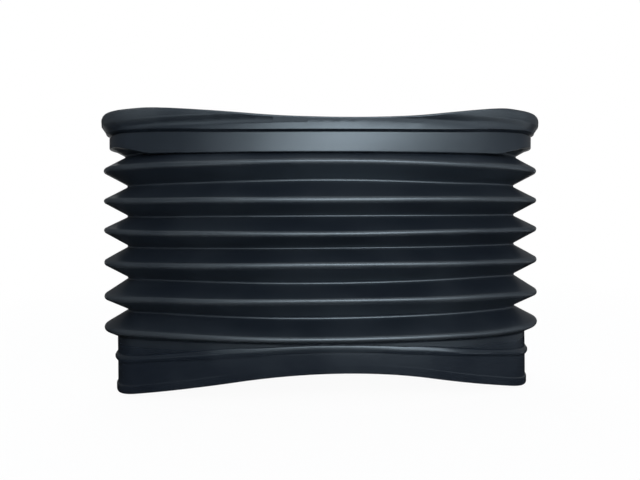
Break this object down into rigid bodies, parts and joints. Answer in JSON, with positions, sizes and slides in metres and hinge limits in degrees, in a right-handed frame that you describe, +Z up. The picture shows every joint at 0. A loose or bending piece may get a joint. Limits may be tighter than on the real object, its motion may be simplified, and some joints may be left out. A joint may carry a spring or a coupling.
{
  "type": "rubber bellows boot",
  "caption": "Oblong moulded rubber bellows with level folds, a flared lip that dips at mid length on top and an arched clamp collar with a raised clip bead below.",
  "frame": {"origin": "centre of the plan, on the level that the two ends of the lower rim stand on", "axes": "+Z up through the boot from the clamp collar to the flared lip, X along the long way of the oval plan, Y across it"},
  "size_m": [0.404, 0.16, 0.2478],
  "materials": {
    "moulded_rubber": "black moulded rubber with a soft satin sheen"
  },
  "bodies": {
    "root": {"bellows_boot": "moulded_rubber"}
  },
  "joints": []
}
